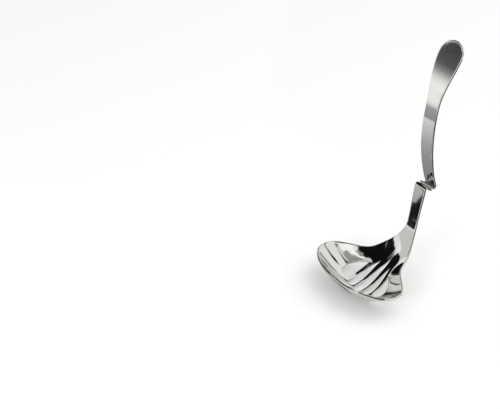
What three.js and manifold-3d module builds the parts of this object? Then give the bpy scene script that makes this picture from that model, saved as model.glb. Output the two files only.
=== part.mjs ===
// Slotted ladle of polished stainless steel. A wide pressed bowl with flame-shaped drain
// slots runs up into a flat neck, which bends over a rim as a hook. A curved handle with a
// round paddle end is riveted onto the hook.
// Millimetres, +Z up. +X points away from the bowl, and Y runs across the sheet.
// The origin is the middle of the hook's flat underside, which rests on the rim.

import * as THREE from 'three';
import { mergeVertices } from 'three/addons/utils/BufferGeometryUtils.js';
import Module from 'manifold-3d';

const wasm = await Module();
wasm.setup();

// Sheet and fits
const BOWL_SHEET = 1.8; // thickness of the bowl, neck and hook
const HANDLE_SHEET = 1.6;
const LAP_CLEARANCE = 0.3; // between the hook and the handle's foot
const HOLE_CLEARANCE = 0.25; // round each rivet

// Hook
const HOOK_LENGTH = 6.0; // flat leg outside the crest
const HOOK_SLOPE = 36; // degrees below level, outwards
const HOOK_WIDTH = 12.8;
const CREST_RADIUS = 0.8; // inside of the bend over the rim

// Neck
const NECK_LENGTH = 30.0; // flat stretch between the crest and the bowl's bend
const NECK_LEAN = 9; // degrees from plumb
const NECK_WIDTH = 11.2; // at its waist, where the bend starts
const BEND_RADIUS = 32.0; // inside of the bend into the bowl
const THROAT_WIDTH = 38.0; // that the flare alone reaches where the bend ends
const FLARE_DELAY = 1.3; // above 1, the flare starts more slowly

// Bowl
const BOWL_WIDTH = 92.0;
const BOWL_DEPTH = 20.0; // from the rim to the floor
const DIP_DELAY = 2.0; // above 1, the floor starts to sink further from the neck
const SHOULDER_LENGTH = 24.0; // from the bend's end to the widest line
const SHOULDER_LEAD = 10.0; // how far before the bend's end the shoulders start to swell
const FRONT_LENGTH = 23.5; // from the widest line to the tip

// Drain slots
const SLOT_WIDTHS = [7.0, 6.4, 10.0]; // middle slot, then the next and the outer one on each side
const SLOT_RIB = 2.2; // sheet left between two slots
const SLOT_START = 35.4; // from the widest line to the middle slot's point
const SLOT_START_STEP = 7.0; // later start for each slot outwards
const SLOT_POINT_PITCH = 6.2; // across, from point to point
const SLOT_FRONT = 4.3; // from the widest line to the middle slot's round end
const SLOT_FRONT_STEP = 2.2; // earlier end for each slot outwards
const SLOT_POINT_FLARE = 0.6; // share of the slot's run in which its sides leave the point
const SLOT_SIDE_RUN = 0.25; // share of the run in which its sides are nearly straight

// Handle
const FOOT_LENGTH = 5.6; // flat lap on the hook
const VALLEY_RADIUS = 0.8; // inside of the sharp bend above the foot
const HANDLE_LEAN = 19.5; // degrees from plumb, inwards, just above the valley
const HANDLE_RADIUS = 142.0; // of its long curve
const HANDLE_LENGTH = 130.0; // along the curve
const GRIP_WIDTH = 13.9; // slim stretch
const PADDLE_WIDTH = 24.8;
const PADDLE_LENGTH = 43.0; // stretch in which the handle widens to the paddle's end

// Rivets
const RIVET_SPACING = 6.4;
const SHANK_DIAMETER = 2.0;
const HEAD_DIAMETER = 3.2;
const HEAD_DEPTH = 0.7; // of the sunk cone at each end

// Mesh fineness
const STRIP_COLUMNS = 6;
const BOWL_COLUMNS = 18;
const ARC_STEP = 6; // degrees on bends
const LONG_STEP = 2.4; // along the slow curves
const TIP_ROWS = 12;
const TIP_LAST = 86; // degrees, where the last row closes a round end
const RIVET_SEGMENTS = 24;
const SLOT_SEGMENTS = 12; // on each curve of a slot's outline
const SAME_POINT = 1e-5;

const radians = THREE.MathUtils.degToRad;
const smooth = (t) => THREE.MathUtils.smoothstep(t, 0, 1);
const smoother = (t) => THREE.MathUtils.smootherstep(t, 0, 1);

// A point that walks in the XZ plane and keeps every stop it makes, with its heading.
// Heading 0 points along +X and 90 degrees along +Z.
class Walk {
  constructor(x, z, heading) {
    this.x = x;
    this.z = z;
    this.heading = heading;
    this.length = 0;
    this.stops = [];
    this.mark();
  }

  mark() {
    this.stops.push({ x: this.x, z: this.z, heading: this.heading, length: this.length });
  }

  straight(lengths) {
    let done = 0;
    for (const length of lengths) {
      this.x += (length - done) * Math.cos(this.heading);
      this.z += (length - done) * Math.sin(this.heading);
      this.length += length - done;
      done = length;
      this.mark();
    }
  }

  // Positive turns are to the left, and the radius is that of the walked line.
  bend(radius, turn, steps) {
    const chord = 2 * radius * Math.sin(Math.abs(turn) / steps / 2);
    for (let step = 0; step < steps; step += 1) {
      this.heading += turn / steps / 2;
      this.x += chord * Math.cos(this.heading);
      this.z += chord * Math.sin(this.heading);
      this.heading += turn / steps / 2;
      this.length += (radius * Math.abs(turn)) / steps;
      this.mark();
    }
  }
}

const evenly = (length, step) => {
  const count = Math.max(1, Math.ceil(length / step));
  return Array.from({ length: count }, (_, index) => ((index + 1) * length) / count);
};

const steps = (turn, step) => Math.max(2, Math.ceil(Math.abs(THREE.MathUtils.radToDeg(turn)) / step));

// A geometry with shared corners becomes a solid, and a solid becomes a geometry.
function solid(geometry) {
  const bare = geometry.clone();
  bare.deleteAttribute('normal');
  bare.deleteAttribute('uv');
  const merged = mergeVertices(bare, SAME_POINT);
  return new wasm.Manifold(
    new wasm.Mesh({
      numProp: 3,
      vertProperties: new Float32Array(merged.attributes.position.array),
      triVerts: new Uint32Array(merged.index.array),
    }),
  );
}

function geometryOf(body) {
  const mesh = body.getMesh();
  const geometry = new THREE.BufferGeometry();
  geometry.setAttribute('position', new THREE.BufferAttribute(mesh.vertProperties, 3));
  geometry.setIndex(new THREE.BufferAttribute(mesh.triVerts, 1));
  geometry.computeVertexNormals();
  return geometry;
}

// Sheet pressed along a walk. Each stop gives a row of points across the show face, which
// lies on the walked line at both edges and sinks between them by (1 - v * v) times the sag.
// The back face is the show face moved by the thickness along its own normal.
// The side is +1 where the show face is left of the walk, and -1 where it is right.
function pressing(stops, columns, side, thickness) {
  const rows = stops.length;
  const across = columns + 1;
  const show = stops.map((stop) => {
    const normal = stop.heading + (side * Math.PI) / 2;
    return Array.from({ length: across }, (_, column) => {
      const v = (2 * column) / columns - 1;
      const sink = stop.sag * (1 - v * v);
      return new THREE.Vector3(
        stop.x - sink * Math.cos(normal),
        stop.halfWidth * v,
        stop.z - sink * Math.sin(normal),
      );
    });
  });
  const back = show.map((row, i) => row.map((point, j) => {
    const along = show[Math.min(i + 1, rows - 1)][j].clone().sub(show[Math.max(i - 1, 0)][j]);
    const over = row[Math.min(j + 1, columns)].clone().sub(row[Math.max(j - 1, 0)]);
    const normal = along.cross(over).normalize();
    return point.clone().addScaledVector(normal, -side * thickness);
  }));

  const positions = [...show.flat(), ...back.flat()].flatMap((point) => point.toArray());
  const index = [];
  const quad = (a, b, c, d) => {
    const corners = side > 0 ? [a, c, b, a, d, c] : [a, b, c, a, c, d];
    index.push(...corners);
  };
  const at = (layer, i, j) => (layer * rows + i) * across + j;
  for (let i = 0; i < rows - 1; i += 1) {
    for (let j = 0; j < columns; j += 1) {
      quad(at(0, i, j), at(0, i, j + 1), at(0, i + 1, j + 1), at(0, i + 1, j));
      quad(at(1, i, j), at(1, i + 1, j), at(1, i + 1, j + 1), at(1, i, j + 1));
    }
    quad(at(0, i, 0), at(0, i + 1, 0), at(1, i + 1, 0), at(1, i, 0));
    quad(at(0, i, columns), at(1, i, columns), at(1, i + 1, columns), at(0, i + 1, columns));
  }
  for (let j = 0; j < columns; j += 1) {
    quad(at(0, 0, j), at(1, 0, j), at(1, 0, j + 1), at(0, 0, j + 1));
    const last = rows - 1;
    quad(at(0, last, j), at(0, last, j + 1), at(1, last, j + 1), at(1, last, j));
  }
  const geometry = new THREE.BufferGeometry();
  geometry.setAttribute('position', new THREE.Float32BufferAttribute(positions, 3));
  geometry.setIndex(index);
  return geometry;
}

// The hook's leg is the joint's seat: its directions place the foot and the rivets as well.
const legHeading = Math.PI - radians(HOOK_SLOPE);
const legNormal = new THREE.Vector2(Math.sin(radians(HOOK_SLOPE)), Math.cos(radians(HOOK_SLOPE)));
const legInward = new THREE.Vector2(Math.cos(legHeading), Math.sin(legHeading));
const stack = BOWL_SHEET + LAP_CLEARANCE + HANDLE_SHEET;

// Bowl, neck and hook: one pressing, walked from the hook's outer end to the bowl's tip.
function bowlAndNeck() {
  const start = legNormal.clone().multiplyScalar(BOWL_SHEET);
  start.addScaledVector(legInward, -HOOK_LENGTH / 2);
  const walk = new Walk(start.x, start.y, legHeading);
  walk.straight(evenly(HOOK_LENGTH, LONG_STEP));

  const neckHeading = (3 * Math.PI) / 2 - radians(NECK_LEAN);
  const crestTurn = neckHeading - legHeading;
  walk.bend(CREST_RADIUS + BOWL_SHEET, crestTurn, steps(crestTurn, 2 * ARC_STEP));
  const neckTop = walk.length;
  walk.straight(evenly(NECK_LENGTH, 2 * LONG_STEP));
  const bendStart = walk.length;
  const bendTurn = Math.PI - neckHeading;
  walk.bend(BEND_RADIUS, bendTurn, steps(bendTurn, ARC_STEP));
  const bendEnd = walk.length;
  const rimLevel = walk.z;
  walk.straight(evenly(SHOULDER_LENGTH, LONG_STEP));
  const widest = walk.length;
  const widestX = walk.x;
  const round = Array.from({ length: TIP_ROWS }, (_, row) => (
    FRONT_LENGTH * Math.sin((radians(TIP_LAST) * (row + 1)) / TIP_ROWS)
  ));
  walk.straight(round);

  // Half-widths: the strip, a flare through the bend, the swelling shoulders, and from the
  // widest line on a half ellipse round to the tip.
  const halfWidth = (length) => {
    if (length <= neckTop) return HOOK_WIDTH / 2;
    if (length <= bendStart) {
      const t = (length - neckTop) / NECK_LENGTH;
      return THREE.MathUtils.lerp(HOOK_WIDTH, NECK_WIDTH, smooth(t)) / 2;
    }
    const front = (length - widest) / FRONT_LENGTH;
    if (front >= 0) return (BOWL_WIDTH / 2) * Math.sqrt(1 - front ** 2);
    const flare = smooth((length - bendStart) / (bendEnd - bendStart)) ** FLARE_DELAY;
    const swellStart = bendEnd - SHOULDER_LEAD;
    const shoulder = smoother((length - swellStart) / (widest - swellStart));
    const throat = THREE.MathUtils.lerp(NECK_WIDTH, THROAT_WIDTH, flare);
    return (throat + (BOWL_WIDTH - THROAT_WIDTH) * shoulder) / 2;
  };
  const sag = (length) => {
    if (length <= bendStart) return 0;
    if (length >= widest) return BOWL_DEPTH * (1 - ((length - widest) / FRONT_LENGTH) ** 2);
    return BOWL_DEPTH * smooth((length - bendStart) / (widest - bendStart)) ** DIP_DELAY;
  };
  const stops = walk.stops.map((stop) => ({
    ...stop,
    halfWidth: halfWidth(stop.length),
    sag: sag(stop.length),
  }));

  let body = solid(pressing(stops, BOWL_COLUMNS, -1, BOWL_SHEET));
  SLOT_WIDTHS.forEach((_, number) => {
    body = body.subtract(drainSlot(number, 1, widestX, rimLevel));
    if (number > 0) body = body.subtract(drainSlot(number, -1, widestX, rimLevel));
  });
  return geometryOf(body.subtract(rivetHoles()));
}

// A flame-shaped slot, cut straight down: a point towards the neck, swelling sides and a
// round end. Slots are numbered outwards from the middle, on one side (1) or the other (-1).
function drainSlot(number, side, widestX, rimLevel) {
  const radius = SLOT_WIDTHS[number] / 2;
  const inner = SLOT_WIDTHS.slice(0, number);
  const filled = inner.reduce((sum, width) => sum + width, number * SLOT_RIB);
  const middle = side * Math.sign(number) * (filled - SLOT_WIDTHS[0] / 2 + radius);
  const endX = widestX - SLOT_FRONT + SLOT_FRONT_STEP * number + radius;
  const pointX = widestX + SLOT_START - SLOT_START_STEP * number;
  const pointY = side * SLOT_POINT_PITCH * number;
  const run = pointX - endX;
  const flareX = pointX - SLOT_POINT_FLARE * run;
  const sideX = endX + SLOT_SIDE_RUN * run;
  const shape = new THREE.Shape();
  shape.moveTo(pointX, pointY);
  shape.bezierCurveTo(
    flareX, middle + radius, sideX, middle + radius, endX, middle + radius,
  );
  shape.absarc(endX, middle, radius, Math.PI / 2, (3 * Math.PI) / 2, false);
  shape.bezierCurveTo(
    sideX, middle - radius, flareX, middle - radius, pointX, pointY,
  );
  const below = 2 * (BOWL_DEPTH + BOWL_SHEET);
  const geometry = new THREE.ExtrudeGeometry(shape, {
    depth: below + BEND_RADIUS / 2,
    bevelEnabled: false,
    curveSegments: SLOT_SEGMENTS,
  });
  geometry.translate(0, 0, rimLevel - below);
  return solid(geometry);
}

// Handle: a second pressing, walked from its foot on the hook up to the paddle's round end.
function handle() {
  const footEnd = HOOK_LENGTH / 2 - FOOT_LENGTH;
  const start = legNormal.clone().multiplyScalar(stack).addScaledVector(legInward, -footEnd);
  const walk = new Walk(start.x, start.y, legHeading - Math.PI);
  walk.straight(evenly(FOOT_LENGTH, LONG_STEP));
  const valleyTurn = Math.PI / 2 + radians(HANDLE_LEAN) - walk.heading;
  walk.bend(VALLEY_RADIUS, valleyTurn, steps(valleyTurn, 3 * ARC_STEP));
  const gripStart = walk.length;
  const endRadius = PADDLE_WIDTH / 2;
  const curveTurn = (HANDLE_LENGTH - endRadius) / HANDLE_RADIUS;
  walk.bend(HANDLE_RADIUS, -curveTurn, Math.ceil((HANDLE_LENGTH - endRadius) / LONG_STEP));
  const endStart = walk.length;
  let done = 0;
  for (let row = 1; row <= TIP_ROWS; row += 1) {
    const reach = endRadius * Math.sin((radians(TIP_LAST) * row) / TIP_ROWS);
    walk.bend(HANDLE_RADIUS, -(reach - done) / HANDLE_RADIUS, 1);
    done = reach;
  }

  const paddleStart = endStart - PADDLE_LENGTH;
  const halfWidth = (length) => {
    if (length >= endStart) return Math.sqrt(endRadius ** 2 - (length - endStart) ** 2);
    const settled = smooth((length - gripStart) / PADDLE_LENGTH);
    const swollen = smooth((length - paddleStart) / PADDLE_LENGTH);
    const slim = THREE.MathUtils.lerp(HOOK_WIDTH, GRIP_WIDTH, settled);
    return THREE.MathUtils.lerp(slim, PADDLE_WIDTH, swollen) / 2;
  };
  const stops = walk.stops.map((stop) => ({ ...stop, halfWidth: halfWidth(stop.length), sag: 0 }));
  const body = solid(pressing(stops, STRIP_COLUMNS, 1, HANDLE_SHEET));
  return geometryOf(body.subtract(rivetHoles()));
}

// Half section of a rivet along the joint's normal: a shank between two sunk cones whose
// ends lie flush with the sheets. The clearance makes the same section as a hole, and the
// overrun carries a hole's ends past the sheets.
function rivetSection(clearance, overrun) {
  const shank = SHANK_DIAMETER / 2 + clearance;
  const head = HEAD_DIAMETER / 2 + clearance;
  return [
    [0, -overrun],
    [head, -overrun],
    [head, 0],
    [shank, HEAD_DEPTH],
    [shank, stack - HEAD_DEPTH],
    [head, stack],
    [head, stack + overrun],
    [0, stack + overrun],
  ].map(([radius, along]) => new THREE.Vector2(radius, along));
}

// The lathe turns about Y, so its axis is laid along the joint's normal, at one of two
// places across the sheet.
function onJoint(geometry, sidewise) {
  geometry.rotateX(Math.PI / 2);
  geometry.rotateY(radians(HOOK_SLOPE));
  geometry.translate(0, sidewise, 0);
  return geometry;
}

const rivetPlaces = [RIVET_SPACING / 2, -RIVET_SPACING / 2];

// Without an overrun, the section's doubled end points are left out.
function rivet(sidewise) {
  const section = rivetSection(0, 0).filter((point, i, all) => i === 0 || !point.equals(all[i - 1]));
  return onJoint(new THREE.LatheGeometry(section, RIVET_SEGMENTS), sidewise);
}

function rivetHoles() {
  const section = rivetSection(HOLE_CLEARANCE, HOLE_CLEARANCE);
  const holes = rivetPlaces.map((sidewise) => (
    solid(onJoint(new THREE.LatheGeometry(section, RIVET_SEGMENTS), sidewise))
  ));
  return holes.reduce((all, hole) => all.add(hole));
}

// Mirror-polished steel, a shade darker on the rivets' cut ends.
const steel = (color, roughness) => new THREE.MeshStandardMaterial({ color, roughness, metalness: 1 });
const polishedSteel = steel(0xd6d7d8, 0.08);
const rivetSteel = steel(0xc4c6c8, 0.15);

const ladle = new THREE.Group();

function place(name, geometry, material) {
  const mesh = new THREE.Mesh(geometry, material);
  mesh.name = name;
  ladle.add(mesh);
}

place('bowl_and_neck', bowlAndNeck(), polishedSteel);
place('handle', handle(), polishedSteel);
['rivet_far', 'rivet_near'].forEach((name, i) => place(name, rivet(rivetPlaces[i]), rivetSteel));

export default ladle;
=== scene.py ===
"""Slotted ladle of polished steel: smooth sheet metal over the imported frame, in a pale studio.

The ladle's sizes are in millimetres and the studio's places in metres, both from the frame's origin.
"""

import math

import bpy
import numpy as np
from mathutils import Matrix
from mathutils.geometry import delaunay_2d_cdt


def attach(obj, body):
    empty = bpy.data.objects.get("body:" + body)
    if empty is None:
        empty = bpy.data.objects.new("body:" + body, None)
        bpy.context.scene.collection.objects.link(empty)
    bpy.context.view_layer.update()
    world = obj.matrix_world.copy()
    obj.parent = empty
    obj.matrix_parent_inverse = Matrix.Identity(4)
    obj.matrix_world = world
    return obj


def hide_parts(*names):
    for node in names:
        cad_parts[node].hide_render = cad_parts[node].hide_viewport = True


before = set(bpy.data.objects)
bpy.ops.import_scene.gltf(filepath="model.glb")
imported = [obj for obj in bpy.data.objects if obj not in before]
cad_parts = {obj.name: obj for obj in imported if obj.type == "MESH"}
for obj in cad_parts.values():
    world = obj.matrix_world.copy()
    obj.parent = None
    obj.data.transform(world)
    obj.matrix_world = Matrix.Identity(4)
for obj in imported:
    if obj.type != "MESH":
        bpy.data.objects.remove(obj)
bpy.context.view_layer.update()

MM = 0.001            # metres in a millimetre

# Sizes in mm, angles and shares, the same as those of the solids
BOWL_SHEET = 1.8
HANDLE_SHEET = 1.6
LAP_CLEARANCE = 0.3
STACK = BOWL_SHEET + LAP_CLEARANCE + HANDLE_SHEET
HOOK_LENGTH = 6.0
HOOK_SLOPE = math.radians(36)
HOOK_WIDTH = 12.8
CREST_RADIUS = 0.8
NECK_LENGTH = 30.0
NECK_LEAN = math.radians(9)
NECK_WIDTH = 11.2
BEND_RADIUS = 32.0
THROAT_WIDTH = 38.0
FLARE_DELAY = 1.3     # power that holds the flare back
BOWL_WIDTH = 92.0
BOWL_DEPTH = 20.0
DIP_DELAY = 2.0       # power that holds the dip back
SHOULDER_LENGTH = 24.0
SHOULDER_LEAD = 10.0
FRONT_LENGTH = 23.5
SLOT_WIDTHS = (7.0, 6.4, 10.0)   # middle, inner and outer slots
SLOT_RIB = 2.2
SLOT_START = 35.4
SLOT_START_STEP = 7.0
SLOT_POINT_PITCH = 6.2
SLOT_FRONT = 4.3
SLOT_FRONT_STEP = 2.2
SLOT_POINT_FLARE = 0.6    # share of a slot's length
SLOT_SIDE_RUN = 0.25      # share of a slot's length
FOOT_LENGTH = 5.6
VALLEY_RADIUS = 0.8
HANDLE_LEAN = math.radians(19.5)
HANDLE_RADIUS = 142.0
HANDLE_LENGTH = 130.0
GRIP_WIDTH = 13.9
PADDLE_WIDTH = 24.8
PADDLE_LENGTH = 43.0
RIVET_SPACING = 6.4
HEAD_DIAMETER = 3.2
HOLE_CLEARANCE = 0.25

# Headings in the XZ plane, from +X towards +Z
UPWARDS = math.pi / 2
LEFTWARDS = math.pi
DOWNWARDS = 1.5 * math.pi

# Directions of the hook's sloping leg in the XZ plane: along it, and out of its show face
LEG_HEADING = LEFTWARDS - HOOK_SLOPE
LEG_INWARD = np.array([math.cos(LEG_HEADING), math.sin(LEG_HEADING)])
LEG_NORMAL = np.array([math.sin(HOOK_SLOPE), math.cos(HOOK_SLOPE)])

# Sizes in mm that only the looks have
EDGE_ROUND = 0.5      # polished round of the sheet's edges
HOLE_ROUND = 0.15     # crisper round of the rivet holes' edges
CORNER_ROUND = 1.2    # corners of the strip's ends, seen flat

# Fineness of the meshes, in mm
NORMAL_STEP = 0.05    # small step to both sides that gives a normal
SHARP_RADIUS = 5.0    # bends tighter than this get fine rows
GRID_GAP = 0.3        # from the outlines to the grid's points
CORNER_GAP = 0.1      # from a rounded corner to the first point of the side
SLOT_STEP = 0.45      # between the points of a slot's outline
SLOT_SEARCH = 10.0    # up the neck from the bend, where the search for a slot's place starts

# Fineness of the meshes, as counts and angles
LINE_SAMPLES = 100    # per mm of a sheet's line
CORNER_POINTS = 6
HOLE_POINTS = 40
SLOT_SIDE_POINTS = 60
SLOT_END_POINTS = 40
BOWL_TIP_POINTS = 150
HANDLE_TIP_POINTS = 60
EDGE_ANGLES = np.radians([22.5, 45, 67.5, 90])   # rings of a rounded edge

# Limits of the calculations
BISECTIONS = 40       # halvings of a range, down to far less than a micron
BLOCK = 1000          # points tested at a time
TOUCHING = 1e-6       # points of a flat pattern nearer than this would be joined


def smooth(t):
    """Cubic step: 3 t^2 - 2 t^3, held at 0 before and at 1 after."""
    t = np.clip(t, 0, 1)
    return t * t * (3 - 2 * t)


def smoother(t):
    """Quintic step: 10 t^3 - 15 t^4 + 6 t^5, held at 0 before and at 1 after."""
    t = np.clip(t, 0, 1)
    return t ** 3 * (10 - 15 * t + 6 * t * t)


def mix(a, b, t):
    """Straight blend: a at t = 0 and b at t = 1."""
    return a + (b - a) * t


def ends_of(moves):
    """Length along the line at which each move ends: the running sum of the moves' lengths."""
    return dict(zip(moves, np.cumsum([length for length, _ in moves.values()])))


class Sheet:
    """Sheet bent along a line in the XZ plane.

    The line is a row of straights and arcs, named moves, each a length and a turn. A point of the
    show face at length s and distance y from the middle plane lies on the line, sunk away from
    the show side by dip(s) - hollow(s) * y * y. The show side is 1 for left of the line's heading
    and -1 for right of it.
    """

    def __init__(self, start, heading, moves, side, thickness, half_width, dip, hollow):
        """Samples the line: heading runs evenly through each move, and x and z add up its steps."""
        self.turns = [turn for _, turn in moves.values()]
        self.ends = ends_of(moves)
        self.stations = np.array([0, *self.ends.values()])
        self.length = self.stations[-1]
        self.s = np.linspace(0, self.length, int(self.length * LINE_SAMPLES))
        self.heading = np.interp(self.s, self.stations, heading + np.cumsum([0, *self.turns]))
        middle = (self.heading[1:] + self.heading[:-1]) / 2
        step = np.diff(self.s)
        self.x = start[0] + np.concatenate([[0], np.cumsum(np.cos(middle) * step)])
        self.z = start[1] + np.concatenate([[0], np.cumsum(np.sin(middle) * step)])
        self.side = side
        self.thickness = thickness
        self.half_width = half_width
        self.dip = dip
        self.hollow = hollow

    def show(self, s, y):
        """Points of the show face: the line's point, less the sink along the line's normal."""
        normal = np.interp(s, self.s, self.heading) + self.side * math.pi / 2
        sink = self.dip(s) - self.hollow(s) * y * y
        x = np.interp(s, self.s, self.x) - sink * np.cos(normal)
        z = np.interp(s, self.s, self.z) - sink * np.sin(normal)
        return np.stack([x, y, z], -1)

    def normals(self, s, y):
        """Unit normals of the show face: the cross product of small steps along and across."""
        before = np.maximum(s - NORMAL_STEP, 0)
        after = np.minimum(s + NORMAL_STEP, self.length)
        along = self.show(after, y) - self.show(before, y)
        over = self.show(s, y + NORMAL_STEP) - self.show(s, y - NORMAL_STEP)
        normal = np.cross(along, over) * self.side
        return normal / np.linalg.norm(normal, axis=-1, keepdims=True)

    def rows(self, coarse, fine):
        """Lengths of the grid's rows: even steps in each move, fine ones through sharp bends."""
        rows = [np.zeros(1)]
        for first, last, turn in zip(self.stations[:-1], self.stations[1:], self.turns):
            length = last - first
            step = fine if length < SHARP_RADIUS * abs(turn) else coarse
            rows.append(np.linspace(first, last, max(2, math.ceil(length / step)) + 1)[1:])
        return np.concatenate(rows)


def turned(loop, sign):
    """The outline, run backwards where its area, half the sum of x dy - y dx, has another sign."""
    x, y = loop.T
    area = 0.5 * np.sum(x * np.roll(y, -1) - y * np.roll(x, -1))
    return loop if area * sign > 0 else loop[::-1]


def inward(loop):
    """Unit normals left of an outline's run: the mean of the two edges' directions, turned 90 degrees."""
    ahead = np.roll(loop, -1, 0) - loop
    ahead /= np.linalg.norm(ahead, axis=1, keepdims=True)
    tangent = ahead + np.roll(ahead, 1, 0)
    tangent /= np.linalg.norm(tangent, axis=1, keepdims=True)
    return np.stack([-tangent[:, 1], tangent[:, 0]], 1)


def even(loop, step):
    """The closed outline again, with points an even step apart along its edges."""
    closed = np.vstack([loop, loop[:1]])
    run = np.concatenate([[0], np.cumsum(np.linalg.norm(np.diff(closed, axis=0), axis=1))])
    at = np.linspace(0, run[-1], int(round(run[-1] / step)) + 1)[:-1]
    return np.stack([np.interp(at, run, closed[:, 0]), np.interp(at, run, closed[:, 1])], 1)


def in_blocks(test, points):
    """A test's answers for all points, worked out a block of points at a time to spare memory."""
    blocks = np.array_split(points, len(points) // BLOCK + 1)
    return np.concatenate([test(block) for block in blocks])


def inside(points, loop):
    """True inside the outline, where a line towards +X crosses an odd number of its edges."""
    x0, y0 = loop.T
    x1, y1 = np.roll(loop, -1, 0).T
    rise = np.where(y1 == y0, 1, y1 - y0)

    def crosses_oddly(block):
        """An edge is crossed where it spans the point's y and lies ahead of the point's x there."""
        x, y = block[:, :1], block[:, 1:]
        spans = (y0 > y) != (y1 > y)
        ahead = x < (x1 - x0) * (y - y0) / rise + x0
        return np.sum(spans & ahead, 1) % 2 == 1

    return in_blocks(crosses_oddly, points)


def between(points, loops):
    """True inside the first outline and outside the others."""
    outside = [~inside(points, hole) for hole in loops[1:]]
    return inside(points, loops[0]) & np.all(outside, axis=0)


def clear_of(points, loops, gap):
    """True where the nearest point of the outlines is further away than the gap."""
    posts = np.vstack(loops)

    def far(block):
        """Least squared distance to any of the outlines' points, set against the gap squared."""
        return np.min(np.sum((block[:, None] - posts) ** 2, -1), 1) > gap * gap

    return in_blocks(far, points)


def staggered_grid(sheet, rows, across):
    """Points of the flat pattern: evenly spaced over each row's width, odd rows half a space on."""
    half = sheet.half_width(rows)
    spaces = np.maximum(2, np.ceil(2 * half / across)).astype(int)
    row = np.repeat(np.arange(len(rows)), spaces + 1)
    place = np.arange(len(row)) - np.searchsorted(row, row)
    space = 2 * half / spaces
    y = place * space[row] - half[row] + (row % 2) * space[row] / 2
    return np.stack([rows[row], y], 1)


def fill(name, flat, rings, loops):
    """Triangles over a flat pattern, with its rings as edges, kept where the middle lies between them."""
    edges = np.vstack([np.stack([ring, np.roll(ring, -1)], 1) for ring in rings])
    whole_hull = 0
    filled = delaunay_2d_cdt(flat.tolist(), edges.tolist(), [], whole_hull, TOUCHING)
    points, _, triangles = filled[:3]
    if len(points) != len(flat):
        raise ValueError(f"outlines of {name} cross or touch")
    triangles = np.array(triangles)
    return triangles[between(flat[triangles].mean(1), loops)]


def rounded_edge(sheet, loop, normal, radius):
    """Rings round a sheet's edge, from the show face to the back, as flat places and as points.

    A ring at angle a lies in from the edge by r - r sin a, and below its face by r - r cos a.
    """
    sunk = radius * (1 - np.cos(EDGE_ANGLES))
    depths = np.concatenate([sunk, sheet.thickness - sunk[::-1]])
    steps_in = radius * (1 - np.sin(np.concatenate([EDGE_ANGLES, EDGE_ANGLES[::-1]])))
    flat = loop + steps_in[:, None, None] * normal
    s, y = flat[..., 0], flat[..., 1]
    points = sheet.show(s, y) - depths[:, None, None] * sheet.normals(s, y)
    return flat, points


def bands(rings):
    """Triangles between each closed ring of point numbers and the next: two to a quad."""
    a, d = rings[:-1], rings[1:]
    b, c = np.roll(a, -1, 1), np.roll(d, -1, 1)
    halves = [np.stack([a, c, b], -1), np.stack([a, d, c], -1)]
    return np.stack(halves, 1).reshape(-1, 3)


def mesh_object(name, vertices, faces, flat_uv):
    """Object at the origin from whole arrays in mm, smooth shaded, with the flat pattern as its map."""
    mesh = bpy.data.meshes.new(name)
    mesh.from_pydata((vertices * MM).tolist(), [], faces.tolist())
    mesh.validate()
    mesh.polygons.foreach_set("use_smooth", np.ones(len(mesh.polygons), bool))
    corners = np.empty(len(mesh.loops), int)
    mesh.loops.foreach_get("vertex_index", corners)
    layer = mesh.uv_layers.new(name="flat")
    layer.data.foreach_set("uv", (flat_uv[corners] * MM).ravel())
    mesh.update()
    piece = bpy.data.objects.new(name, mesh)
    bpy.context.scene.collection.objects.link(piece)
    return piece


def pressed_piece(name, sheet, outline, holes, rows, across):
    """Piece cut and pressed from sheet, with rounded edges round its outline and holes.

    The flat pattern, in length s and distance y, is filled with triangles inside the edges'
    rounds. It is laid on the sheet's show face, and again one thickness behind as the back. Rings
    join the two round each outline. Each hole is an outline and the round of its edge.
    """
    loops = [turned(outline, 1)] + [turned(hole, -1) for hole, _ in holes]
    rounds = [EDGE_ROUND] + [edge_round for _, edge_round in holes]
    normals = [inward(loop) for loop in loops]
    inset = [loop + edge_round * normal for loop, edge_round, normal in zip(loops, rounds, normals)]
    grid = staggered_grid(sheet, rows, across)
    grid = grid[between(grid, inset) & clear_of(grid, inset, GRID_GAP)]
    flat = np.vstack(inset + [grid])
    ring_ends = np.cumsum([len(loop) for loop in inset])
    rings = np.split(np.arange(ring_ends[-1]), ring_ends[:-1])
    triangles = fill(name, flat, rings, inset)

    show = sheet.show(*flat.T)
    vertices = [show, show - sheet.normals(*flat.T) * sheet.thickness]
    maps = [flat, flat]
    faces = [triangles, triangles[:, ::-1] + len(flat)]
    total = 2 * len(flat)
    for ring, loop, normal, edge_round in zip(rings, loops, normals, rounds):
        edge_flat, edge_points = rounded_edge(sheet, loop, normal, edge_round)
        edge_rings = total + np.arange(edge_flat.size // 2).reshape(-1, len(ring))
        total += edge_rings.size
        vertices.append(edge_points.reshape(-1, 3))
        maps.append(edge_flat.reshape(-1, 2))
        faces.append(bands(np.vstack([ring, edge_rings, ring + len(flat)])))
    faces = np.vstack(faces)
    if sheet.side > 0:
        faces = faces[:, ::-1]
    return mesh_object(name, np.vstack(vertices), faces, np.vstack(maps))


def strip_end(half):
    """Strip's square end at s = 0, from y = -half to half, with quarter circles at its corners."""
    angle = np.linspace(0, math.pi / 2, CORNER_POINTS)
    s = CORNER_ROUND * (1 - np.sin(angle))
    y = half - CORNER_ROUND * (1 - np.cos(angle))
    # Close enough together that no grid point can lie on the edge between two of them
    count = 4 * int(half) + 1
    across = np.linspace(-1, 1, count)[1:-1] * (half - CORNER_ROUND)
    lower = np.stack([s, -y], 1)
    upper = np.stack([s[::-1], y[::-1]], 1)
    return np.vstack([lower, np.stack([np.zeros(len(across)), across], 1), upper])


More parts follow.
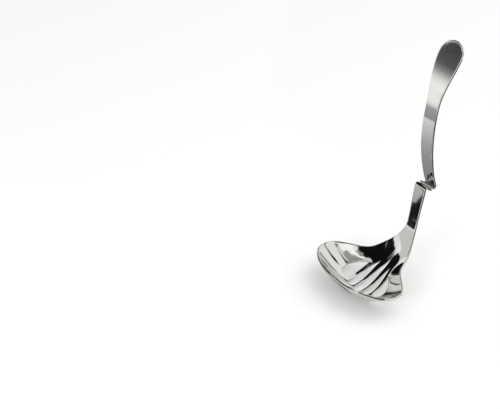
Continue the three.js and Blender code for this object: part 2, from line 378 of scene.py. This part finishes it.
def strip_outline(sheet, side_rows, tip):
    """Outline of a strip: square end, one side along the half width, the tip, and both mirrored in y."""
    side = side_rows[side_rows > CORNER_ROUND + CORNER_GAP]
    upper = np.vstack([np.stack([side, sheet.half_width(side)], 1), tip])
    lower = (upper * [1, -1])[-2::-1]
    return np.vstack([strip_end(HOOK_WIDTH / 2), upper, lower])


def rivet_holes(middle):
    """Two circles in the flat pattern, at a length along it, with the round of their edges."""
    angle = np.linspace(0, 2 * math.pi, HOLE_POINTS, endpoint=False)
    radius = HEAD_DIAMETER / 2 + HOLE_CLEARANCE
    circle = np.stack([np.cos(angle), np.sin(angle)], 1) * radius
    return [(circle + [middle, y], HOLE_ROUND) for y in (RIVET_SPACING / 2, -RIVET_SPACING / 2)]


def bowl_sheet():
    """Sheet of the hook, neck and bowl: straight leg, sharp crest, neck, wide bend and level scoop."""
    neck_heading = DOWNWARDS - NECK_LEAN
    crest_turn = neck_heading - LEG_HEADING
    bend_turn = LEFTWARDS - neck_heading
    moves = {
        "hook": (HOOK_LENGTH, 0),
        "crest": ((CREST_RADIUS + BOWL_SHEET) * crest_turn, crest_turn),
        "neck": (NECK_LENGTH, 0),
        "bend": (BEND_RADIUS * abs(bend_turn), bend_turn),
        "shoulder": (SHOULDER_LENGTH, 0),
        "front": (FRONT_LENGTH, 0),
    }
    ends = ends_of(moves)
    bend_start, bend_end, widest = ends["neck"], ends["bend"], ends["shoulder"]

    def half_width(s):
        """Neck plus smooth steps for the flare and shoulders, times a half-ellipse at the front."""
        neck = mix(HOOK_WIDTH, NECK_WIDTH, smooth((s - ends["crest"]) / NECK_LENGTH))
        flare = smooth((s - bend_start) / (bend_end - bend_start)) ** FLARE_DELAY
        shoulder = smoother((s - bend_end + SHOULDER_LEAD) / (SHOULDER_LENGTH + SHOULDER_LEAD))
        width = neck + (THROAT_WIDTH - NECK_WIDTH) * flare + (BOWL_WIDTH - THROAT_WIDTH) * shoulder
        front = np.clip((s - widest) / FRONT_LENGTH, 0, 1)
        return width / 2 * np.sqrt(1 - front ** 2)

    def dip(s):
        """Depth of the bowl's middle: a smooth step down to the widest place, a parabola after."""
        swell = smooth((s - bend_start) / (widest - bend_start)) ** DIP_DELAY
        front = np.maximum((s - widest) / FRONT_LENGTH, 0)
        return BOWL_DEPTH * (swell - front ** 2)

    def hollow(s):
        """Rise per y squared that brings the rim back to the line: dip over half width squared."""
        before = np.minimum(s, widest)
        return dip(before) / half_width(before) ** 2

    start = LEG_NORMAL * BOWL_SHEET - LEG_INWARD * HOOK_LENGTH / 2
    return Sheet(start, LEG_HEADING, moves, -1, BOWL_SHEET, half_width, dip, hollow)


def slot_plan(number, widest_x):
    """Flame-shaped slot seen from above, numbered from the middle one at 0.

    From the point to the ends of a half circle, x is a cubic curve of four places and y runs
    from the point's place to the side's as 1 - (1 - t)^3.
    """
    away = abs(number)
    radius = SLOT_WIDTHS[away] / 2
    filled = sum(SLOT_WIDTHS[:away]) + away * SLOT_RIB
    middle = np.sign(number) * (filled - SLOT_WIDTHS[0] / 2 + radius)
    end_x = widest_x - SLOT_FRONT + SLOT_FRONT_STEP * away + radius
    point_x = widest_x + SLOT_START - SLOT_START_STEP * away
    point_y = SLOT_POINT_PITCH * number
    run = point_x - end_x
    places = [point_x, point_x - SLOT_POINT_FLARE * run, end_x + SLOT_SIDE_RUN * run, end_x]
    t = np.linspace(0, 1, SLOT_SIDE_POINTS)
    weights = [(1 - t) ** 3, 3 * t * (1 - t) ** 2, 3 * t ** 2 * (1 - t), t ** 3]
    x = sum(weight * place for weight, place in zip(weights, places))
    rise = 1 - (1 - t) ** 3
    upper = np.stack([x, mix(point_y, middle + radius, rise)], 1)
    lower = np.stack([x, mix(point_y, middle - radius, rise)], 1)[::-1]
    angle = np.linspace(math.pi / 2, 1.5 * math.pi, SLOT_END_POINTS)[1:-1]
    arc = np.stack([end_x + radius * np.cos(angle), middle + radius * np.sin(angle)], 1)
    return even(np.vstack([upper, arc, lower[:-1]]), SLOT_STEP)


def laid_on(sheet, plan):
    """Outline seen from above, carried to the flat pattern: s is found by halving its range."""
    low = np.full(len(plan), sheet.ends["neck"] - SLOT_SEARCH)
    high = np.full(len(plan), sheet.length)
    for _ in range(BISECTIONS):
        guess = (low + high) / 2
        short = sheet.show(guess, plan[:, 1])[:, 0] > plan[:, 0]
        low = np.where(short, guess, low)
        high = np.where(short, high, guess)
    return even(np.stack([low, plan[:, 1]], 1), SLOT_STEP)


def bowl_piece():
    """Bowl, neck and hook in one pressing: half-ellipse tip, five drain slots and two rivet holes."""
    sheet = bowl_sheet()
    widest = sheet.ends["shoulder"]
    coarse = 0.5
    rows = sheet.rows(coarse, fine=0.2)
    side_rows = rows[rows < widest]
    front_rows = np.arange(widest, sheet.length, coarse)
    angle = np.linspace(0, math.pi / 2, BOWL_TIP_POINTS)
    tip = np.stack([widest + FRONT_LENGTH * np.sin(angle), BOWL_WIDTH / 2 * np.cos(angle)], 1)
    outline = strip_outline(sheet, side_rows, tip)
    widest_x = np.interp(widest, sheet.s, sheet.x)
    outer = len(SLOT_WIDTHS) - 1
    plans = [slot_plan(number, widest_x) for number in range(-outer, outer + 1)]
    slots = [(laid_on(sheet, plan), EDGE_ROUND) for plan in plans]
    holes = slots + rivet_holes(HOOK_LENGTH / 2)
    grid_rows = np.concatenate([side_rows, front_rows])
    return pressed_piece("bowl_neck_and_hook", sheet, outline, holes, grid_rows, across=0.7)


def handle_piece():
    """Handle: flat foot, sharp bend, long arc and a paddle that ends in a half circle."""
    end_radius = PADDLE_WIDTH / 2
    heading = LEG_HEADING - math.pi
    valley_turn = UPWARDS + HANDLE_LEAN - heading
    moves = {
        "foot": (FOOT_LENGTH, 0),
        "valley": (VALLEY_RADIUS * valley_turn, valley_turn),
        "grip": (HANDLE_LENGTH, -HANDLE_LENGTH / HANDLE_RADIUS),
    }
    grip_start = ends_of(moves)["valley"]
    end_start = grip_start + HANDLE_LENGTH - end_radius

    def half_width(s):
        """Smooth steps from the foot to the grip and to the paddle, times a half circle at the end."""
        slim = mix(HOOK_WIDTH, GRIP_WIDTH, smooth((s - grip_start) / PADDLE_LENGTH))
        wide = mix(slim, PADDLE_WIDTH, smooth((s - end_start + PADDLE_LENGTH) / PADDLE_LENGTH))
        front = np.clip((s - end_start) / end_radius, 0, 1)
        return wide / 2 * np.sqrt(1 - front ** 2)

    foot_end = HOOK_LENGTH / 2 - FOOT_LENGTH
    start = LEG_NORMAL * STACK - LEG_INWARD * foot_end
    sheet = Sheet(start, heading, moves, 1, HANDLE_SHEET, half_width, np.zeros_like, np.zeros_like)
    rows = sheet.rows(coarse=0.8, fine=0.1)
    angle = np.linspace(0, math.pi / 2, HANDLE_TIP_POINTS)
    tip = np.stack([end_start + end_radius * np.sin(angle), end_radius * np.cos(angle)], 1)
    outline = strip_outline(sheet, rows[rows < end_start], tip)
    return pressed_piece("handle_strip", sheet, outline, rivet_holes(-foot_end), rows, across=1.0)


# Colours and materials

# Colour sockets of the Mix node, by number
COLOUR_A = 6
COLOUR_B = 7
COLOUR_RESULT = 2

WHITE = "#FFFFFF"
MARK_LENGTH = 15 * MM
MARK_WIDTH = 1 * MM
MARK_CHANGE = 0.4     # share by which rub marks change the roughness
NOISE_LOW = 0.3       # most of a noise lies from here
NOISE_HIGH = 0.7      # to here


def linear(hex_colour):
    """sRGB hex colour as linear RGBA: straight at the dark end, and above that a power of 2.4."""
    parts = np.array([int(hex_colour[i:i + 2], 16) / 255 for i in (1, 3, 5)])
    low = parts / 12.92
    high = ((parts + 0.055) / 1.055) ** 2.4
    return (*np.where(parts <= 0.04045, low, high).tolist(), 1.0)


def add(tree, kind, inputs=None, **settings):
    """New node with settings on its properties, and on each input a value or a link from an output."""
    node = tree.nodes.new(kind)
    for key, value in settings.items():
        setattr(node, key, value)
    for key, value in (inputs or {}).items():
        if isinstance(value, bpy.types.NodeSocket):
            tree.links.new(value, node.inputs[key])
        else:
            node.inputs[key].default_value = value
    return node


def empty_material(name):
    """Material without nodes, and its tree."""
    material = bpy.data.materials.new(name)
    material.use_nodes = True
    material.node_tree.nodes.clear()
    return material, material.node_tree


def steel(name, bright, dull, roughness, patch, wave, drawn=None):
    """Mirror-polished stainless steel, whose look is what it reflects.

    The polishing wheel leaves patches, of a size in mm, that are a little brighter or duller, and
    rub marks in which the mirror is softer or sharper. Pressing leaves the sheet not quite even,
    by a wave in mm, so that the edges of reflections waver. Where only the lower part is drawn
    deep, the wave fades out between two heights in mm.
    """
    material, tree = empty_material(name)
    place = add(tree, "ShaderNodeTexCoord").outputs["Object"]

    patch_size = {"Vector": place, "Scale": 1 / (patch * MM)}
    patches = add(tree, "ShaderNodeTexNoise", {**patch_size, "Detail": 3.0})
    tones = {"Factor": patches.outputs["Fac"], COLOUR_A: linear(bright), COLOUR_B: linear(dull)}
    tone = add(tree, "ShaderNodeMix", tones, data_type="RGBA")

    # Rub marks, drawn wider than real ones so that they show
    mark_scale = (1 / MARK_LENGTH, 1 / MARK_WIDTH, 1 / MARK_LENGTH)
    stretch = add(tree, "ShaderNodeMapping", {"Vector": place, "Scale": mark_scale})
    rubs = add(tree, "ShaderNodeTexNoise", {
        "Vector": stretch.outputs["Vector"],
        "Scale": 1.0,
        "Detail": 2.0,
    })
    rough = add(tree, "ShaderNodeMapRange", {
        "Value": rubs.outputs["Fac"],
        "From Min": NOISE_LOW,
        "From Max": NOISE_HIGH,
        "To Min": roughness * (1 - MARK_CHANGE),
        "To Max": roughness * (1 + MARK_CHANGE),
    })

    swell = add(tree, "ShaderNodeTexNoise", {**patch_size, "Detail": 1.0})
    strength = 1.0
    if drawn:
        lowest, highest = drawn
        height = add(tree, "ShaderNodeSeparateXYZ", {"Vector": place})
        fade = add(tree, "ShaderNodeMapRange", {
            "Value": height.outputs["Z"],
            "From Min": lowest * MM,
            "From Max": highest * MM,
            "To Min": strength,
            "To Max": 0.0,
        })
        strength = fade.outputs["Result"]
    waver = add(tree, "ShaderNodeBump", {
        "Height": swell.outputs["Fac"],
        "Strength": strength,
        "Distance": wave * MM,
    })
    surface = add(tree, "ShaderNodeBsdfPrincipled", {
        "Base Color": tone.outputs[COLOUR_RESULT],
        "Metallic": 1.0,
        "Roughness": rough.outputs["Result"],
        "Normal": waver.outputs["Normal"],
    })
    add(tree, "ShaderNodeOutputMaterial", {"Surface": surface.outputs["BSDF"]})
    return material


def matt(name, colour, roughness):
    """Matt painted board: an even pale tone without a mirror image."""
    material, tree = empty_material(name)
    surface = add(tree, "ShaderNodeBsdfPrincipled", {"Base Color": linear(colour), "Roughness": roughness})
    add(tree, "ShaderNodeOutputMaterial", {"Surface": surface.outputs["BSDF"]})
    return material


def glow(name, shades):
    """Glowing card that paints a reflection into polished metal: one shade, or a run of (place, shade)
    stops along its map's V.
    """
    material, tree = empty_material(name)
    light = {"Color": linear(WHITE), "Strength": shades}
    if isinstance(shades, list):
        card_map = add(tree, "ShaderNodeUVMap", uv_map="card")
        split = add(tree, "ShaderNodeSeparateXYZ", {"Vector": card_map.outputs["UV"]})
        ramp = add(tree, "ShaderNodeValToRGB", {"Fac": split.outputs["Y"]})
        stops = ramp.color_ramp.elements
        for index, (at, shade) in enumerate(shades):
            stop = stops[index] if index < len(stops) else stops.new(at)
            stop.position = at
            stop.color = (shade, shade, shade, 1)
        light = {"Color": ramp.outputs["Color"], "Strength": 1.0}
    shine = add(tree, "ShaderNodeEmission", light)
    add(tree, "ShaderNodeOutputMaterial", {"Surface": shine.outputs["Emission"]})
    return material


# The ladle's pieces

# The bowl's mirror wavers where the sheet was drawn deep, and is straight along the neck
bowl_polish = steel(
    "deep-drawn polished stainless steel", "#DFDEDB", "#D8D7D5",
    roughness=0.06, patch=12, wave=0.12, drawn=(-52, -40),
)
# The handle is bent from flat strip, so its mirror is straight
strip_polish = steel(
    "polished stainless steel strip", "#DFDEDB", "#D8D7D5",
    roughness=0.06, patch=12, wave=0.01,
)
# The rivets are ground flush, which leaves them a little greyer and duller
rivet_polish = steel(
    "ground and polished stainless steel", "#CBCBCA", "#BFBFBF",
    roughness=0.14, patch=1, wave=0.002,
)

bowl = bowl_piece()
bowl.data.materials.append(bowl_polish)
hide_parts("bowl_and_neck")
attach(bowl, "root")

handle = handle_piece()
handle.data.materials.append(strip_polish)
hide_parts("handle")
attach(handle, "root")

for rivet in ("rivet_far", "rivet_near"):
    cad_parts[rivet].data.materials.clear()
    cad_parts[rivet].data.materials.append(rivet_polish)

# Studio, in metres: a pale floor, and glowing cards that only the polished metal sees, which paint light
# and shade into its reflections

FLOOR = -0.0771       # height just under the bowl
FLOOR_REACH = 4.0     # to each side
LIFT = 0.001          # between cards that lie over one another


def card(name, corners, material):
    """Flat card of the stage, one face through its corners, with a unit map where it has four."""
    mesh = bpy.data.meshes.new(name)
    mesh.from_pydata(corners, [], [range(len(corners))])
    if len(corners) == 4:
        layer = mesh.uv_layers.new(name="card")
        layer.data.foreach_set("uv", [0, 0, 1, 0, 1, 1, 0, 1])
    mesh.materials.append(material)
    piece = bpy.data.objects.new(name, mesh)
    bpy.context.scene.collection.objects.link(piece)
    return piece


def mirrored_card(name, corners, finish, shades):
    """Glowing card that only reflections see: a painted reflection, which lights no matt surface and casts
    no shadow.
    """
    piece = card(name, corners, glow(finish, shades))
    piece.visible_camera = False
    piece.visible_diffuse = False
    piece.visible_shadow = False
    piece.visible_transmission = False


def level(outline, height):
    """Corners of a level card: its outline in x and y, at one height."""
    return [(x, y, height) for x, y in outline]


def directions(azimuth):
    """Unit steps outwards at an azimuth, in degrees from +X towards +Y, and 90 degrees left of it."""
    angle = math.radians(azimuth)
    outwards = np.array([math.cos(angle), math.sin(angle)])
    return outwards, np.array([-outwards[1], outwards[0]])


def upright(azimuth, distance, width, low, high):
    """Corners of an upright card that faces the origin from a distance, from height low to high."""
    outwards, leftwards = directions(azimuth)
    left = outwards * distance - leftwards * width / 2
    right = outwards * distance + leftwards * width / 2
    return [(*left, low), (*right, low), (*right, high), (*left, high)]


def lying(azimuth, near, far, width):
    """Corners of a strip on the floor that runs outwards from under the origin at an azimuth."""
    outwards, leftwards = directions(azimuth)
    ends = [(near, 1), (near, -1), (far, -1), (far, 1)]
    outline = [outwards * out + leftwards * width / 2 * side for out, side in ends]
    return level(outline, FLOOR + LIFT)


floor_outline = [
    (-FLOOR_REACH, -FLOOR_REACH),
    (FLOOR_REACH, -FLOOR_REACH),
    (FLOOR_REACH, FLOOR_REACH),
    (-FLOOR_REACH, FLOOR_REACH),
]
card("floor", level(floor_outline, FLOOR), matt("pale floor", "#F4F4F3", 0.7))

# Painted dark reflection: a black glowing card high over the bowl, between the camera and the far side
overhead_reflection_outline = [
    (2.6, 4.0), (-0.04, 4.0), (-0.93, 2.2), (-1.18, 0.92), (-1.25, 0.3), (-1.25, -0.35), (-2.0, -1.1),
    (-2.0, -1.92), (-1.09, -1.92), (-0.29, -0.42), (-0.12, 0.0), (-0.12, 0.5), (0.55, 0.5), (2.6, 0.5),
]
mirrored_card("overhead_dark_reflection", level(overhead_reflection_outline, 1.0), "painted dark reflection overhead", 0.006)

# Painted reflection for the paddle: a glowing card to the far left, at the paddle's height, dark at its
# top and fading to brighter than white towards the floor
paddle_reflection_shades = [
    (0, 1.15), (0.109, 1.12), (0.204, 0.95), (0.292, 0.62),
    (0.382, 0.3), (0.506, 0.12), (0.72, 0.085), (1, 0.05),
]
paddle_reflection_corners = upright(azimuth=139.3, distance=0.25, width=0.06, low=0.075, high=0.245)
mirrored_card("paddle_reflection_card", paddle_reflection_corners, "painted paddle reflection", paddle_reflection_shades)

# Painted grey reflection behind the camera: a glowing card, darker towards its top
camera_side_shades = [(0, 0.35), (0.5, 0.2), (1, 0.1)]
camera_side_corners = upright(azimuth=-128, distance=2.2, width=2.2, low=0.0, high=1.2)
mirrored_card("camera_side_reflection", camera_side_corners, "painted reflection behind the camera", camera_side_shades)

# Painted shade in the handle's mirror image of the floor: glowing strips on the floor that only the metal
# sees, darker nearer the ladle
far_shades = [(0, 0.36), (0.067, 0.46), (0.1, 0.95), (0.16, 1.12), (1, 1.12)]
far_corners = lying(azimuth=139, near=0.385, far=4.0, width=0.2)
mirrored_card("table_shade", far_corners, "shaded table", far_shades)
near_shades = [(0, 0.26), (0.3, 0.43), (0.55, 0.62), (1, 0.87)]
near_corners = lying(azimuth=134, near=0.05, far=0.385, width=0.12)
mirrored_card("table_near", near_corners, "half-shaded table", near_shades)

# Painted dark reflection in the neck: a dark glowing strip on the floor that only the metal sees, as steps
# out and to the left from its start
neck_outwards, neck_leftwards = directions(azimuth=140)
strip_start = np.array([-0.009, -0.002])
strip_steps = [
    (0.13, -0.013), (0.176, -0.013), (0.18, -0.002), (0.2, 0.0), (0.215, 0.003), (0.3, 0.001), (1.0, 0.03),
    (3.0, 0.11), (3.0, 0.18), (1.0, 0.07), (0.3, 0.026), (0.21, 0.018), (0.176, 0.014), (0.13, 0.013),
]
shade_outline = [strip_start + out * neck_outwards + left * neck_leftwards for out, left in strip_steps]
mirrored_card("neck_dark_reflection", level(shade_outline, FLOOR + 2 * LIFT), "painted dark reflection for the neck", 0.01)

# Painted white, grey and pale reflections: glowing cards to the left of the tip, which the bowl's far side
# mirrors
white_outline = [
    (-0.25, -0.03), (-0.16, -0.009), (-0.135, -0.003), (-0.11, 0.001), (-0.1, 0.0),
    (-0.1, 0.0055), (-0.112, 0.004), (-0.125, 0.0035), (-0.16, 0.02), (-0.25, 0.04),
]
mirrored_card("bowl_white_reflection", level(white_outline, 0.01), "painted white reflection for the bowl", 1.3)
grey_outline = [
    (-0.135, -0.0095), (-0.112, -0.0095), (-0.107, -0.001),
    (-0.085, -0.001), (-0.085, 0.02), (-0.135, 0.02),
]
mirrored_card("bowl_grey_reflection", level(grey_outline, 0.012), "painted grey reflection for the bowl", 0.35)
pale_outline = [
    (-0.1, 0.001), (-0.077, 0.001), (-0.077, 0.0115),
    (-0.084, 0.0115), (-0.09, 0.0065), (-0.1, 0.0065),
]
mirrored_card("bowl_pale_reflection", level(pale_outline, 0.011), "painted pale reflection for the bowl", 0.85)

# Painted grey reflection for the throat: a pale grey glowing card to the far left, which the throat
# mirrors
throat_reflection_corners = upright(azimuth=132, distance=2.6, width=3.4, low=0.09, high=1.3)
mirrored_card("throat_grey_reflection", throat_reflection_corners, "painted grey reflection for the throat", 0.74)

# Painted dark reflection that lines the paddle's edge: a low dark glowing card to the right
right_corners = upright(azimuth=-40, distance=2.0, width=2.2, low=FLOOR + 3 * LIFT, high=0.35)
mirrored_card("paddle_edge_dark_reflection", right_corners, "painted dark reflection for the paddle's edge", 0.04)

# Painted dark reflection in the joint: a dark glowing patch on the floor to the far right, which only the
# metal sees
right_outline = [(0.08, 0.05), (0.7, 0.3), (0.5, 0.8), (0.05, 0.3)]
mirrored_card("joint_dark_reflection", level(right_outline, FLOOR + LIFT), "dark right", 0.03)

# Painted dark reflection that lines the sheet's edges: a dark glowing patch on the floor at the front,
# which only the metal sees
front_outline = [(-0.6, -0.06), (0.5, -0.06), (0.5, -1.2), (-0.6, -1.2)]
mirrored_card("edge_dark_reflection", level(front_outline, FLOOR + LIFT), "dark front", 0.06)


def aim(holder, place, backwards):
    """Puts a lamp or camera at a place, level, with its back towards a direction.

    Its right is the cross product of up and that direction, and its own up that of the two.
    """
    backwards = np.array(backwards) / np.linalg.norm(backwards)
    right = np.cross([0, 0, 1], backwards)
    right /= np.linalg.norm(right)
    matrix = np.eye(4)
    matrix[:3, :3] = np.stack([right, np.cross(backwards, right), backwards], 1)
    matrix[:3, 3] = place
    holder.matrix_world = Matrix(matrix.tolist())
    bpy.context.scene.collection.objects.link(holder)


def area_light(name, place, target, size, watts):
    """Soft rectangular lamp from a place towards a target, which reflections don't show."""
    lamp = bpy.data.lights.new(name, "AREA")
    lamp.shape = "RECTANGLE"
    lamp.size, lamp.size_y = size
    lamp.energy = watts
    holder = bpy.data.objects.new(name, lamp)
    holder.visible_glossy = False
    aim(holder, place, np.subtract(place, target))


area_light("key", place=(0.9, -0.5, 1.5), target=(0, 0, 0), size=(2.0, 2.0), watts=14)
area_light("left", place=(-1.34, -0.42, 0.58), target=(0, 0, -0.05), size=(0.5, 0.3), watts=5)

# White surroundings, a little dimmer as a light than they look
world = bpy.data.worlds.new("studio")
bpy.context.scene.world = world
world.use_nodes = True
sky = world.node_tree
sky.nodes.clear()
ambient = add(sky, "ShaderNodeBackground", {"Color": linear(WHITE), "Strength": 0.85})
white = add(sky, "ShaderNodeBackground", {"Color": linear(WHITE), "Strength": 1.0})
rays = add(sky, "ShaderNodeLightPath").outputs
seen_rays = {0: rays["Is Camera Ray"], 1: rays["Is Glossy Ray"]}
seen = add(sky, "ShaderNodeMath", seen_rays, operation="MAXIMUM")
choices = {0: seen.outputs[0], 1: ambient.outputs[0], 2: white.outputs[0]}
choice = add(sky, "ShaderNodeMixShader", choices)
add(sky, "ShaderNodeOutputWorld", {"Surface": choice.outputs[0]})

# Camera: from the front left, looking down
CAMERA_TURN = math.radians(-35)
CAMERA_TILT = math.radians(33)
CAMERA_PLACE = np.array([-604.5, -613.1, 534.6]) * MM
eye = bpy.data.cameras.new("camera")
eye.lens = 87.8
eye.sensor_width = 36
eye.sensor_fit = "HORIZONTAL"
eye.clip_end = 20
eye.dof.use_dof = False
camera = bpy.data.objects.new("camera", eye)
towards_camera = [
    math.sin(CAMERA_TURN) * math.cos(CAMERA_TILT),
    -math.cos(CAMERA_TURN) * math.cos(CAMERA_TILT),
    math.sin(CAMERA_TILT),
]
aim(camera, CAMERA_PLACE, towards_camera)
bpy.context.scene.camera = camera
bpy.context.scene.view_settings.view_transform = "Standard"
